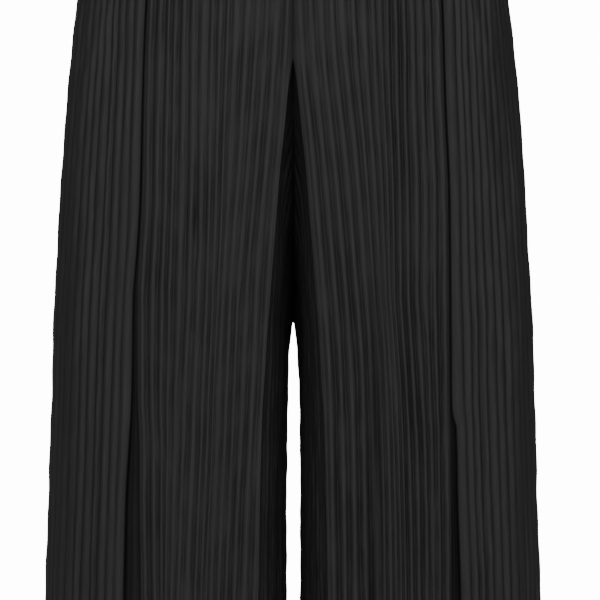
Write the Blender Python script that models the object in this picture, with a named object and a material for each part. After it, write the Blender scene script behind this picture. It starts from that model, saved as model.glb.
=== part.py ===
"""Wide trousers of permanently pleated cloth, hanging open from the waist.

Five sewn pieces: an elastic waistband, two front panels and two back panels. Every panel is a wall
of cloth with its fine lengthwise pleats. Each front also has one deep knife pleat, whose fold lies
over the centre part. All sizes below are millimetres. A level is measured down from the top edge of
the waistband. X runs to the right of someone who looks at the front, and the front faces -Y.
"""

from collections import namedtuple

import bpy
import numpy as np

MM = 0.001

WALL = 1.4
SEAM_GAP = 0.3
HALF_GAP = SEAM_GAP / 2
BAND_HEIGHT = 38.0
BAND_WALL = 3.0
BAND_EDGE = 0.8
BAND_HALF_WIDTH = 151.0
BAND_FRONT_DEPTH = 103.0
BAND_BACK_DEPTH = 107.0
BAND_COLUMNS = 72
HEM_LEVEL = 985.0
CROTCH_LEVEL = 508.0
FRONT_APEX_LEVEL = 250.0
BACK_APEX_LEVEL = 300.0
INSEAM_Y = 28.0

PLEAT_RELIEF = 1.2
PLEATS_SIDE_OF_TUCK = 14
PLEATS_CENTRE_OF_TUCK = 18
PLEATS_FRONT_INNER = 16
PLEATS_BACK = 32
PLEATS_BACK_INNER = 11

TUCK_LAYER_CLEARANCE = 0.6
TUCK_FADE = 12.0

HIP_LEVELS = (BAND_HEIGHT, 72.0, 120.0, 185.0)
FRONT_LEVELS = (*HIP_LEVELS, FRONT_APEX_LEVEL, 310.0, 390.0, 480.0, 600.0, 780.0, HEM_LEVEL)
BACK_LEVELS = (*HIP_LEVELS, BACK_APEX_LEVEL, 370.0, 440.0, 520.0, 640.0, 800.0, HEM_LEVEL)

ARC_POINTS = 241
CORNER_CUTS = 4
WIDTH_PROBES = 400
RELIEF_SHARE_OF_SLOT = 0.7
SHARP_ANGLE = 35.0
TINY = 1e-9

# The whole outline, cut level by level. Squareness 2 is an ellipse, more is a boxier leg.
Outline = namedtuple("Outline", "level half_width front_depth back_depth squareness")
OUTLINE = (
    Outline(BAND_HEIGHT, 152.0, 104.0, 108.0, 2.00),
    Outline(60, 167.5, 109.0, 113.0, 2.00),
    Outline(90, 184.5, 113.0, 118.0, 2.02),
    Outline(130, 200.5, 116.5, 122.0, 2.05),
    Outline(185, 214.5, 118.0, 124.0, 2.10),
    Outline(242, 221.0, 117.0, 124.0, 2.15),
    Outline(330, 229.0, 114.0, 121.0, 2.25),
    Outline(410, 234.0, 111.0, 119.0, 2.35),
    Outline(508, 239.0, 108.0, 116.0, 2.45),
    Outline(600, 242.0, 106.0, 113.0, 2.50),
    Outline(720, 245.0, 105.0, 111.0, 2.55),
    Outline(HEM_LEVEL, 254.0, 104.0, 108.0, 2.60),
)

# Between the legs the cloth turns in at a crease, passes a mouth and meets its seam. The centre seam
# dips back to the crotch and the inseam runs on to the hem.
Inner = namedtuple("Inner", "level crease_x turn_x turn_y mouth_x mouth_y seam_x seam_y")
FRONT_INNER = (
    Inner(FRONT_APEX_LEVEL, HALF_GAP, HALF_GAP, -117.0, HALF_GAP, -117.0, HALF_GAP, -117.0),
    Inner(275, 3.90, 3.80, -97.0, 1.80, -94.5, HALF_GAP, -93.0),
    Inner(310, 7.50, 6.80, -84.0, 3.20, -79.0, HALF_GAP, -76.5),
    Inner(360, 12.8, 10.6, -70.0, 4.20, -62.0, HALF_GAP, -58.0),
    Inner(410, 16.8, 12.4, -63.0, 4.60, -45.0, HALF_GAP, -34.0),
    Inner(455, 20.3, 13.8, -60.0, 5.60, -30.0, HALF_GAP, -4.0),
    Inner(490, 22.8, 15.6, -60.0, 7.20, -20.0, HALF_GAP, 13.0),
    Inner(CROTCH_LEVEL, 24.5, 16.8, -60.0, 8.20, -16.0, HALF_GAP, INSEAM_Y),
    Inner(516, 25.0, 17.1, -60.0, 8.50, -16.0, 2.70, INSEAM_Y),
    Inner(545, 26.7, 18.0, -60.0, 9.20, -16.0, 5.70, INSEAM_Y),
    Inner(600, 30.1, 19.8, -60.0, 9.80, -16.0, 7.30, INSEAM_Y),
    Inner(785, 34.1, 22.2, -60.0, 10.6, -16.0, 8.00, INSEAM_Y),
    Inner(HEM_LEVEL, 37.0, 23.8, -60.0, 10.8, -16.0, 8.20, INSEAM_Y),
)
BACK_INNER = (
    Inner(BACK_APEX_LEVEL, HALF_GAP, HALF_GAP, 122.0, HALF_GAP, 122.0, HALF_GAP, 122.0),
    Inner(340, 4.00, 3.00, 112.0, 1.50, 109.0, HALF_GAP, 108.0),
    Inner(385, 9.00, 7.00, 99.0, 3.00, 94.0, HALF_GAP, 91.0),
    Inner(430, 14.0, 10.0, 90.0, 4.00, 78.0, HALF_GAP, 72.0),
    Inner(470, 18.0, 12.0, 86.0, 5.00, 70.0, HALF_GAP, 52.0),
    Inner(495, 20.5, 14.0, 84.0, 6.00, 68.0, HALF_GAP, 37.0),
    Inner(CROTCH_LEVEL, 22.0, 15.0, 84.0, 7.00, 66.0, HALF_GAP, INSEAM_Y),
    Inner(516, 22.6, 15.2, 83.6, 7.60, 65.6, 2.70, INSEAM_Y),
    Inner(545, 24.5, 16.0, 82.0, 8.60, 64.0, 5.70, INSEAM_Y),
    Inner(600, 28.0, 18.0, 80.0, 9.20, 62.0, 7.30, INSEAM_Y),
    Inner(785, 33.0, 20.0, 78.0, 9.80, 60.0, 8.00, INSEAM_Y),
    Inner(HEM_LEVEL, 36.0, 22.0, 78.0, 10.0, 60.0, 8.20, INSEAM_Y),
)

# The knife pleat of each front: where its fold lies, how far it laps back under the side part, how
# deep the underlay sits and over what width the centre part comes forward again.
Tuck = namedtuple("Tuck", "level fold_x lap depth rise")
LEFT_TUCK = (
    Tuck(BAND_HEIGHT, 100.0, 16.0, 4.3, 16.0),
    Tuck(110, 137.0, 18.0, 4.3, 16.0),
    Tuck(185, 145.5, 19.0, 4.3, 16.0),
    Tuck(285, 149.4, 19.0, 4.3, 15.0),
    Tuck(385, 151.8, 18.0, 4.6, 13.0),
    Tuck(435, 155.0, 16.0, 5.4, 12.0),
    Tuck(500, 160.5, 13.0, 7.4, 12.0),
    Tuck(585, 163.1, 12.0, 7.8, 13.0),
    Tuck(685, 166.2, 11.0, 8.2, 16.0),
    Tuck(785, 169.2, 10.0, 8.6, 21.0),
    Tuck(HEM_LEVEL, 174.0, 9.0, 9.0, 26.0),
)
RIGHT_TUCK = (
    Tuck(BAND_HEIGHT, 102.0, 16.0, 4.3, 16.0),
    Tuck(110, 140.0, 18.0, 4.3, 16.0),
    Tuck(185, 148.0, 19.0, 4.3, 16.0),
    Tuck(285, 151.3, 19.0, 4.3, 15.0),
    Tuck(385, 155.3, 19.0, 4.3, 14.0),
    Tuck(560, 156.8, 18.0, 4.6, 12.0),
    Tuck(620, 162.0, 14.0, 7.0, 9.0),
    Tuck(785, 166.2, 13.0, 7.8, 10.0),
    Tuck(HEM_LEVEL, 170.0, 12.0, 8.4, 13.0),
)

# Colours are linear red, green and blue, read as a near-black charcoal cloth.
Finish = namedtuple("Finish", "colour roughness metallic")
PLEATED_CLOTH = Finish((0.021, 0.023, 0.023), 0.62, 0.0)
BAND_CLOTH = Finish((0.018, 0.020, 0.020), 0.70, 0.0)


def clear_scene():
    for item in list(bpy.data.objects):
        bpy.data.objects.remove(item, do_unlink=True)


def smooth(levels, values, at):
    """A monotone cubic through a table's points, so no width overshoots between two rows."""
    levels = np.asarray(levels, dtype=float)
    values = np.asarray(values, dtype=float)
    step = np.diff(levels)
    rise = np.diff(values) / step
    slope = np.zeros_like(values)
    before = rise[:-1]
    after = rise[1:]
    same_way = before * after > 0
    heavy = 2 * step[1:] + step[:-1]
    light = step[1:] + 2 * step[:-1]
    safe_before = np.where(same_way, before, 1.0)
    safe_after = np.where(same_way, after, 1.0)
    slope[1:-1] = np.where(same_way, (heavy + light) / (heavy / safe_before + light / safe_after), 0.0)
    slope[0] = rise[0]
    slope[-1] = rise[-1]
    at = np.clip(at, levels[0], levels[-1])
    row = np.clip(np.searchsorted(levels, at, side="right") - 1, 0, len(step) - 1)
    span = step[row]
    u = (at - levels[row]) / span
    start = (1 + 2 * u) * (1 - u) ** 2 * values[row] + u * (1 - u) ** 2 * span * slope[row]
    end = u * u * (3 - 2 * u) * values[row + 1] + u * u * (u - 1) * span * slope[row + 1]
    return start + end


def read(table, name, at):
    return smooth([row.level for row in table], [getattr(row, name) for row in table], at)


def ease(share):
    """0 to 1 with a soft start and end."""
    share = np.clip(share, 0.0, 1.0)
    return share * share * (3 - 2 * share)


def main_arc(levels, facing, inner_table):
    """Each level's section from the side seam round to the centre seam or the crease by the inner leg."""
    turn = np.linspace(np.pi / 2, 0.0, ARC_POINTS)[None, :]
    half_width = read(OUTLINE, "half_width", levels)[:, None]
    depth = read(OUTLINE, "front_depth" if facing < 0 else "back_depth", levels)[:, None]
    power = 2.0 / read(OUTLINE, "squareness", levels)[:, None]
    crease = read(inner_table, "crease_x", levels)[:, None]
    x = crease + (half_width - crease) * np.abs(np.sin(turn)) ** power
    y = facing * (depth * np.abs(np.cos(turn)) ** power + HALF_GAP)
    return x, y


def inner_path(levels, facing, inner_table):
    """Each level's section from the crease to the seam between the legs, its corners cut round."""
    depth = read(OUTLINE, "front_depth" if facing < 0 else "back_depth", levels)
    crease_y = facing * (depth + HALF_GAP)
    x = [read(inner_table, name, levels) for name in ("crease_x", "turn_x", "mouth_x", "seam_x")]
    y = [crease_y] + [read(inner_table, name, levels) for name in ("turn_y", "mouth_y", "seam_y")]
    x = np.stack(x, axis=1)
    y = np.stack(y, axis=1)
    y[:, -1] += facing * HALF_GAP
    for _ in range(CORNER_CUTS):
        x = cut_corners(x)
        y = cut_corners(y)
    return x, y


def cut_corners(line):
    """Each span gives its points at one and three quarters, and both ends stay."""
    near = 0.75 * line[:, :-1] + 0.25 * line[:, 1:]
    far = 0.25 * line[:, :-1] + 0.75 * line[:, 1:]
    inside = np.stack([near, far], axis=2).reshape(len(line), -1)
    return np.concatenate([line[:, :1], inside[:, 1:-1], line[:, -1:]], axis=1)


def run_of(x, y):
    """Length walked along each row's line, up to each of its points."""
    steps = np.hypot(np.diff(x, axis=1), np.diff(y, axis=1))
    return np.concatenate([np.zeros((len(x), 1)), np.cumsum(steps, axis=1)], axis=1)


def walk(x, y, distance):
    """Points at the given distances along each row's line, with the line's direction there."""
    run = run_of(x, y)
    index = (run[:, :, None] < distance[:, None, :]).sum(axis=1) - 1
    index = np.clip(index, 0, x.shape[1] - 2)
    start = np.take_along_axis(run, index, axis=1)
    span = np.maximum(np.take_along_axis(run, index + 1, axis=1) - start, TINY)
    share = np.clip((distance - start) / span, 0.0, 1.0)
    x0 = np.take_along_axis(x, index, axis=1)
    y0 = np.take_along_axis(y, index, axis=1)
    run_x = np.take_along_axis(x, index + 1, axis=1) - x0
    run_y = np.take_along_axis(y, index + 1, axis=1) - y0
    length = np.maximum(np.hypot(run_x, run_y), TINY)
    return x0 + run_x * share, y0 + run_y * share, run_x / length, run_y / length


def zigzag(count):
    """Ridge and groove offsets for the columns of a run of pleats, none at its two ends."""
    offsets = np.where(np.arange(2 * count + 1) % 2 == 1, 1.0, -1.0)
    offsets[0] = 0.0
    offsets[-1] = 0.0
    return offsets


def front_columns(levels, arc_length, tuck_table, arc):
    """Distance along the section, depth under it and turn of the wall, for a front's main columns.

    From the side seam the pleated side part ends in the fold. The cloth turns under there, laps back,
    turns again and runs forward as the underlay, which the centre part goes on from.
    """
    fold_x = read(tuck_table, "fold_x", levels)
    x, y = arc
    run = run_of(x, y)
    fold = np.array([np.interp(-fold_x[i], -x[i], run[i]) for i in range(len(levels))])[:, None]
    lap = read(tuck_table, "lap", levels)[:, None]
    under = read(tuck_table, "depth", levels)[:, None]
    rise = read(tuck_table, "rise", levels)[:, None]
    middle = 2 * WALL + TUCK_LAYER_CLEARANCE
    back_bend = (under - middle) / 2

    side_share = np.linspace(0.0, 1.0, 2 * PLEATS_SIDE_OF_TUCK + 1)[None, :]
    side = fold * side_share
    side_depth = -PLEAT_RELIEF * zigzag(PLEATS_SIDE_OF_TUCK)[None, :] * np.ones_like(fold)
    over_lap = side > fold - lap - TUCK_FADE
    side_depth = np.where(over_lap, np.minimum(side_depth, 0.0), side_depth)

    ones = np.ones_like(fold)
    bends = np.concatenate(
        [fold + middle / 2, fold, fold - lap / 2, fold - lap, fold - lap - back_bend, fold - lap], axis=1
    )
    bend_depths = np.concatenate(
        [middle / 2 * ones, middle * ones, middle * ones, middle * ones, middle + back_bend, under], axis=1
    )
    bend_turns = np.radians([90.0, 180.0, 180.0, 180.0, 90.0, 0.0])[None, :] * ones

    centre_share = np.linspace(0.0, 1.0, 2 * PLEATS_CENTRE_OF_TUCK + 1)[None, :]
    centre = fold + (arc_length - fold) * centre_share
    past = centre - fold
    centre_relief = PLEAT_RELIEF * zigzag(PLEATS_CENTRE_OF_TUCK)[None, :] * ease(past / TUCK_FADE)
    centre_depth = under * (1 - ease(past / rise)) - centre_relief

    distance = np.concatenate([side, bends, centre], axis=1)
    depth = np.concatenate([side_depth, bend_depths, centre_depth], axis=1)
    turn = np.concatenate([side * 0, bend_turns, centre * 0], axis=1)
    return distance, depth, turn


def back_columns(arc_length):
    """The same three measures for a back, which has pleats only."""
    share = np.linspace(0.0, 1.0, 2 * PLEATS_BACK + 1)[None, :]
    distance = arc_length * share
    depth = -PLEAT_RELIEF * zigzag(PLEATS_BACK)[None, :] * np.ones_like(arc_length)
    return distance, depth, distance * 0


def wall_points(x, y, along_x, along_y, facing, depth, turn):
    """Outer and inner point of the wall, where the cloth is sunk by depth and turned from the section."""
    out_x = -along_y * -facing
    out_y = along_x * -facing
    outer_x = x - out_x * depth
    outer_y = y - out_y * depth
    wall_x = np.cos(turn) * out_x + np.sin(turn) * along_x
    wall_y = np.cos(turn) * out_y + np.sin(turn) * along_y
    return outer_x, outer_y, outer_x - wall_x * WALL, outer_y - wall_y * WALL


def crease_direction(arc, inner, facing):
    """Unit direction that halves the turn at the crease, for each level."""
    first_x = arc[0][:, -1] - arc[0][:, -2]
    first_y = arc[1][:, -1] - arc[1][:, -2]
    second_x = inner[0][:, 2] - inner[0][:, 0]
    second_y = inner[1][:, 2] - inner[1][:, 0]
    first = np.maximum(np.hypot(first_x, first_y), TINY)
    second = np.maximum(np.hypot(second_x, second_y), TINY)
    along_x = first_x / first + second_x / second
    along_y = first_y / first + second_y / second
    length = np.maximum(np.hypot(along_x, along_y), TINY)
    return along_x / length, along_y / length


def main_grid(levels, facing, inner_table, tuck_table, apex_level):
    """Outer and inner points of the panel outside the crease, a row for each level."""
    arc = main_arc(levels, facing, inner_table)
    arc_length = run_of(*arc)[:, -1:]
    if tuck_table:
        distance, depth, turn = front_columns(levels, arc_length, tuck_table, arc)
    else:
        distance, depth, turn = back_columns(arc_length)
    x, y, along_x, along_y = walk(*arc, distance)
    below = levels > apex_level
    crease_x, crease_y = crease_direction(arc, inner_path(levels, facing, inner_table), facing)
    along_x[:, -1] = np.where(below, crease_x, -1.0)
    along_y[:, -1] = np.where(below, crease_y, 0.0)
    along_x[:, 0] = 0.0
    along_y[:, 0] = facing
    outer_x, outer_y, inner_x, inner_y = wall_points(x, y, along_x, along_y, facing, depth, turn)
    drop = np.broadcast_to(levels[:, None], x.shape)
    return np.stack([outer_x, outer_y, drop], axis=2), np.stack([inner_x, inner_y, drop], axis=2)


def inner_grid(levels, facing, inner_table, pleats, apex_level):
    """Outer and inner points between the crease and the crotch seam or inseam.

    The first row is the crotch seam itself. A column keeps its distance from the crease all the way
    down, and starts where the section is just that wide.
    """
    probe = np.linspace(apex_level, CROTCH_LEVEL, WIDTH_PROBES)
    width = run_of(*inner_path(probe, facing, inner_table))[:, -1]
    full_width = width[-1]
    column = full_width * np.linspace(0.0, 1.0, 2 * pleats + 1)
    top = np.interp(column, width, probe)
    share = ((levels - apex_level) / (HEM_LEVEL - apex_level))[:, None]
    drop = top[None, :] + share * (HEM_LEVEL - top[None, :])
    flat_drop = drop.ravel()
    path = inner_path(flat_drop, facing, inner_table)
    length = run_of(*path)[:, -1]
    scale = np.where(flat_drop > CROTCH_LEVEL, length / full_width, 1.0)
    distance = np.minimum(np.broadcast_to(column[None, :], drop.shape).ravel() * scale, length)[:, None]
    x, y, along_x, along_y = (part.reshape(drop.shape) for part in walk(*path, distance))
    on_inseam = drop[:, -1] > CROTCH_LEVEL - SEAM_GAP
    along_x[:, -1] = np.where(on_inseam, 0.0, along_x[:, -1])
    along_y[:, -1] = np.where(on_inseam, -facing, along_y[:, -1])
    room = RELIEF_SHARE_OF_SLOT * np.maximum(x - SEAM_GAP, 0.0)
    relief = np.minimum(PLEAT_RELIEF, room) * zigzag(pleats)[None, :]
    relief[0] = 0.0
    outer_x, outer_y, inner_x, inner_y = wall_points(x, y, along_x, along_y, facing, -relief, relief * 0)
    return np.stack([outer_x, outer_y, drop], axis=2), np.stack([inner_x, inner_y, drop], axis=2)


def grid_faces(numbers):
    """Two triangles for each cell of a grid of point numbers, with the same diagonal throughout."""
    a = numbers[:-1, :-1].ravel()
    b = numbers[:-1, 1:].ravel()
    c = numbers[1:, 1:].ravel()
    d = numbers[1:, :-1].ravel()
    return np.concatenate([np.stack([a, b, c], axis=1), np.stack([a, c, d], axis=1)])


def rim_faces(faces, inner_start):
    """Close the wall: every edge that only one outer triangle has is joined to its inner twin."""
    edges = {}
    for a, b, c in faces.tolist():
        for edge in ((a, b), (b, c), (c, a)):
            edges[edge] = edge[::-1] not in edges
            if not edges[edge]:
                edges[edge[::-1]] = False
    rim = [edge for edge, single in edges.items() if single]
    quads = []
    for a, b in rim:
        quads.append((b, a, a + inner_start))
        quads.append((b, a + inner_start, b + inner_start))
    return np.array(quads)


def new_object(name, points, faces, finish):
    """Points hold x, y and level in millimetres. The object's height is worked out from the level."""
    points = points.copy()
    points[:, 2] = BAND_HEIGHT / 2 - points[:, 2]
    mesh = bpy.data.meshes.new(name)
    mesh.from_pydata((points * MM).tolist(), [], faces.tolist())
    mesh.validate()
    mesh.shade_smooth()
    mesh.set_sharp_from_angle(angle=np.radians(SHARP_ANGLE))
    made = bpy.data.objects.new(name, mesh)
    bpy.context.scene.collection.objects.link(made)
    made.data.materials.append(material_for(finish, name))
    return made


def material_for(finish, name):
    made = bpy.data.materials.new(name + "_cloth")
    made.use_nodes = True
    surface = made.node_tree.nodes["Principled BSDF"]
    surface.inputs["Base Color"].default_value = (*finish.colour, 1.0)
    surface.inputs["Roughness"].default_value = finish.roughness
    surface.inputs["Metallic"].default_value = finish.metallic
    return made


def panel(name, hand, facing, levels, inner_table, tuck_table, inner_pleats, apex_level):
    """One quarter of the trousers: the panel outside the crease and its turned-in inner leg.

    Hand is 1 for the wearer's left, on the +X side, and -1 for its mirrored partner. Facing is -1 on
    the front and 1 on the back.
    """
    levels = np.array(levels)
    outer_main, inner_main = main_grid(levels, facing, inner_table, tuck_table, apex_level)
    lower = levels >= apex_level
    outer_leg, inner_leg = inner_grid(levels[lower], facing, inner_table, inner_pleats, apex_level)

    main_rows, main_cols = outer_main.shape[:2]
    leg_rows, leg_cols = outer_leg.shape[:2]
    main_numbers = np.arange(main_rows * main_cols).reshape(main_rows, main_cols)
    leg_start = main_rows * main_cols
    leg_numbers = leg_start + np.arange(leg_rows * (leg_cols - 1)).reshape(leg_rows, leg_cols - 1)
    leg_numbers = np.concatenate([main_numbers[lower][:, -1:], leg_numbers], axis=1)

    outer = np.concatenate([outer_main.reshape(-1, 3), outer_leg[:, 1:].reshape(-1, 3)])
    inner = np.concatenate([inner_main.reshape(-1, 3), inner_leg[:, 1:].reshape(-1, 3)])
    points = np.concatenate([outer, inner])
    points[:, 0] = np.maximum(points[:, 0], HALF_GAP)

    faces = np.concatenate([grid_faces(main_numbers), grid_faces(leg_numbers)])
    inner_start = len(outer)
    shell = np.concatenate([faces, faces[:, ::-1] + inner_start, rim_faces(faces, inner_start)])
    if hand * facing > 0:
        shell = shell[:, ::-1]
    points[:, 0] *= hand
    return new_object(name, points, shell, PLEATED_CLOTH)


def waistband(name):
    """The elastic casing: a ring whose section is a tall slab with its edges taken off."""
    turn = np.linspace(0.0, 2 * np.pi, BAND_COLUMNS, endpoint=False)
    depth = np.where(np.cos(turn) > 0, BAND_FRONT_DEPTH, BAND_BACK_DEPTH)
    low = BAND_HEIGHT - SEAM_GAP
    # How far in from the outer face, and the level, round the section of the slab.
    section = (
        (0.0, BAND_EDGE),
        (0.0, low - BAND_EDGE),
        (BAND_EDGE, low),
        (BAND_WALL - BAND_EDGE, low),
        (BAND_WALL, low - BAND_EDGE),
        (BAND_WALL, BAND_EDGE),
        (BAND_WALL - BAND_EDGE, 0.0),
        (BAND_EDGE, 0.0),
    )
    rings = []
    for inset, level in section:
        x = (BAND_HALF_WIDTH - inset) * np.sin(turn)
        y = -(depth - inset) * np.cos(turn)
        rings.append(np.stack([x, y, np.full_like(x, level)], axis=1))
    points = np.concatenate(rings)
    numbers = np.arange(len(points)).reshape(len(section), BAND_COLUMNS)
    numbers = np.concatenate([numbers, numbers[:1]])
    numbers = np.concatenate([numbers, numbers[:, :1]], axis=1)
    return new_object(name, points, grid_faces(numbers)[:, ::-1], BAND_CLOTH)


clear_scene()
waistband("waistband")
for side, hand, tuck in (("left", -1, LEFT_TUCK), ("right", 1, RIGHT_TUCK)):
    panel(
        "front_" + side, hand, -1, FRONT_LEVELS, FRONT_INNER, tuck, PLEATS_FRONT_INNER, FRONT_APEX_LEVEL
    )
    panel(
        "back_" + side, hand, 1, BACK_LEVELS, BACK_INNER, (), PLEATS_BACK_INNER, BACK_APEX_LEVEL
    )
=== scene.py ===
from collections import namedtuple

import bpy
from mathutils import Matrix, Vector
import numpy as np


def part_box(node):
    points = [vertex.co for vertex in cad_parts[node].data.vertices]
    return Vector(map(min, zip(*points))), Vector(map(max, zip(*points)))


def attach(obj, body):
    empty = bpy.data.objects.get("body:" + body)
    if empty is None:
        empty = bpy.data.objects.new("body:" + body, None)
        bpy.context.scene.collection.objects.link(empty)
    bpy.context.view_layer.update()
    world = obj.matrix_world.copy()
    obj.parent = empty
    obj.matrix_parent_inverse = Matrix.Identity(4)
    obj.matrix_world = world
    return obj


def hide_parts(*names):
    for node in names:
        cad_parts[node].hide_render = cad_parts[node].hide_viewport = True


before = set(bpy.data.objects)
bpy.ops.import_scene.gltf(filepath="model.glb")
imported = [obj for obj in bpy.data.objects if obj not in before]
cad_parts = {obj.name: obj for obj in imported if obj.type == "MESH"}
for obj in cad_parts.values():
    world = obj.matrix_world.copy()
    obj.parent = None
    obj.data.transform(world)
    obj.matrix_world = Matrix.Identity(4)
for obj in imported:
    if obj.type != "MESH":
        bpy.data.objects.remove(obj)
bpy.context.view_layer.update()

# Studio. A plain pale floor below the hem, soft light from large panels in front and behind, and a
# long lens level with the thighs, so that the frame runs from the hips to the lower legs.
MM = 0.001
BAND_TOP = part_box("waistband")[1][2]
HEM_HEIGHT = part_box("front_left")[0][2]
CAMERA_DISTANCE = 4.0
CAMERA_RIGHT = 6.8 * MM
CAMERA_LEVEL = 485 * MM
FIELD_WIDTH = 0.6
SENSOR_WIDTH = 36.0
FLOOR_BELOW_HEM = 0.045
FLOOR_HALF_WIDTH = 2.6
FLOOR_COLOUR = (0.86, 0.86, 0.85, 1.0)
FLOOR_ROUGHNESS = 0.85
BACKGROUND_GREY = 14.0
AMBIENT_GREY = 0.12
# Each light: its name, place, size and power.
Light = namedtuple("Light", "name place size power")
LIGHTS = (
    Light("front_left_light", (-1.05, -3.6, 0.9), 1.2, 27.5),
    Light("front_right_light", (1.25, -3.6, 0.7), 1.2, 22.0),
    Light("high_front_light", (-0.3, -2.6, 2.4), 2.0, 13.0),
    Light("back_left_light", (-0.7, 3.7, 1.0), 1.4, 17.0),
    Light("back_right_light", (0.7, 3.7, 1.0), 1.4, 17.0),
)


def aim(item, target):
    """Turns a lamp or camera so that it looks along the line to the target."""
    item.rotation_euler = (Vector(target) - item.location).to_track_quat("-Z", "Y").to_euler()


def node(tree, kind, sockets=(), **values):
    """Adds a shader node, sets its own values, then its sockets' constants by name."""
    made = tree.nodes.new(kind)
    for name, value in values.items():
        setattr(made, name, value)
    for name, value in dict(sockets).items():
        made.inputs[name].default_value = value
    return made


def shaded(name, sockets):
    """A new material with these constants on its shader. Gives the material, its tree and the shader."""
    made = bpy.data.materials.new(name)
    made.use_nodes = True
    surface = made.node_tree.nodes["Principled BSDF"]
    for socket, value in sockets.items():
        surface.inputs[socket].default_value = value
    return made, made.node_tree, surface


lens = bpy.data.cameras.new("camera")
lens.sensor_width = SENSOR_WIDTH
lens.lens = SENSOR_WIDTH * CAMERA_DISTANCE / FIELD_WIDTH
lens.clip_end = 50.0
camera = bpy.data.objects.new("camera", lens)
camera.location = (CAMERA_RIGHT, -CAMERA_DISTANCE, BAND_TOP - CAMERA_LEVEL)
bpy.context.scene.collection.objects.link(camera)
aim(camera, (CAMERA_RIGHT, 0.0, BAND_TOP - CAMERA_LEVEL))
bpy.context.scene.camera = camera

for light in LIGHTS:
    panel_light = bpy.data.lights.new(light.name, "AREA")
    panel_light.size = light.size
    panel_light.energy = light.power
    lamp = bpy.data.objects.new(light.name, panel_light)
    lamp.location = light.place
    bpy.context.scene.collection.objects.link(lamp)
    aim(lamp, (0.0, 0.0, BAND_TOP - CAMERA_LEVEL))

studio = bpy.data.worlds.new("studio")
studio.use_nodes = True
sky = studio.node_tree
sky.nodes.clear()
seen, ambient = [
    node(sky, "ShaderNodeBackground", {"Color": (grey, grey, grey, 1.0)})
    for grey in (BACKGROUND_GREY, AMBIENT_GREY)
]
ray = node(sky, "ShaderNodeLightPath")
either = node(sky, "ShaderNodeMixShader")
sky_out = node(sky, "ShaderNodeOutputWorld")
sky.links.new(ray.outputs["Is Camera Ray"], either.inputs[0])
sky.links.new(ambient.outputs[0], either.inputs[1])
sky.links.new(seen.outputs[0], either.inputs[2])
sky.links.new(either.outputs[0], sky_out.inputs["Surface"])
bpy.context.scene.world = studio

floor_corners = [
    (x * FLOOR_HALF_WIDTH, y * FLOOR_HALF_WIDTH, HEM_HEIGHT - FLOOR_BELOW_HEM)
    for x, y in ((-1, -1), (1, -1), (1, 1), (-1, 1))
]
floor_mesh = bpy.data.meshes.new("floor")
floor_mesh.from_pydata(floor_corners, [], [(0, 1, 2, 3)])
floor = bpy.data.objects.new("floor", floor_mesh)
bpy.context.scene.collection.objects.link(floor)
floor_paint, _, _ = shaded("pale_floor", {"Base Color": FLOOR_COLOUR, "Roughness": FLOOR_ROUGHNESS})
floor_mesh.materials.append(floor_paint)

# Front panels. Each is one length of polyester cloth, heat-set in fine lengthwise pleats, with its
# crotch extension and inner leg cut in one. A deep knife pleat is pressed in beside the thigh, its
# fold towards the centre, and sewn down only at the waist, so that it falls open towards the hem.
WALL = 0.9
LAYER_WALL = 1.4
TOP_LEVEL = 35.0
BAND_LEVEL = 38.0
HEM_LEVEL = 985.0
CROTCH_LEVEL = 508.0
FRONT_APEX_LEVEL = 250.0
INSEAM_Y = 28.0
# Each panel passes the planes of its seams by this much, so that no light shows between two of them.
SEAM_X = -0.04

# The whole outline in millimetres, level by level below the band's top edge. Squareness 2 is an
# ellipse, and more is boxier.
Outline = namedtuple("Outline", "level half_width front_depth back_depth squareness")
OUTLINE = (
    Outline(TOP_LEVEL, 150.0, 102.5, 106.5, 2.00),
    Outline(BAND_LEVEL, 152.0, 104.0, 108.0, 2.00),
    Outline(60, 167.5, 109.0, 113.0, 2.00),
    Outline(90, 184.5, 113.0, 118.0, 2.02),
    Outline(130, 200.5, 116.5, 122.0, 2.05),
    Outline(185, 214.5, 118.0, 124.0, 2.10),
    Outline(242, 221.0, 117.0, 124.0, 2.15),
    Outline(330, 228.4, 114.0, 121.0, 2.25),
    Outline(410, 233.0, 111.0, 119.0, 2.35),
    Outline(508, 238.2, 108.0, 116.0, 2.45),
    Outline(600, 240.6, 106.0, 113.0, 2.50),
    Outline(720, 244.0, 105.0, 111.0, 2.55),
    Outline(HEM_LEVEL, 254.0, 104.0, 108.0, 2.60),
)

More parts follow.
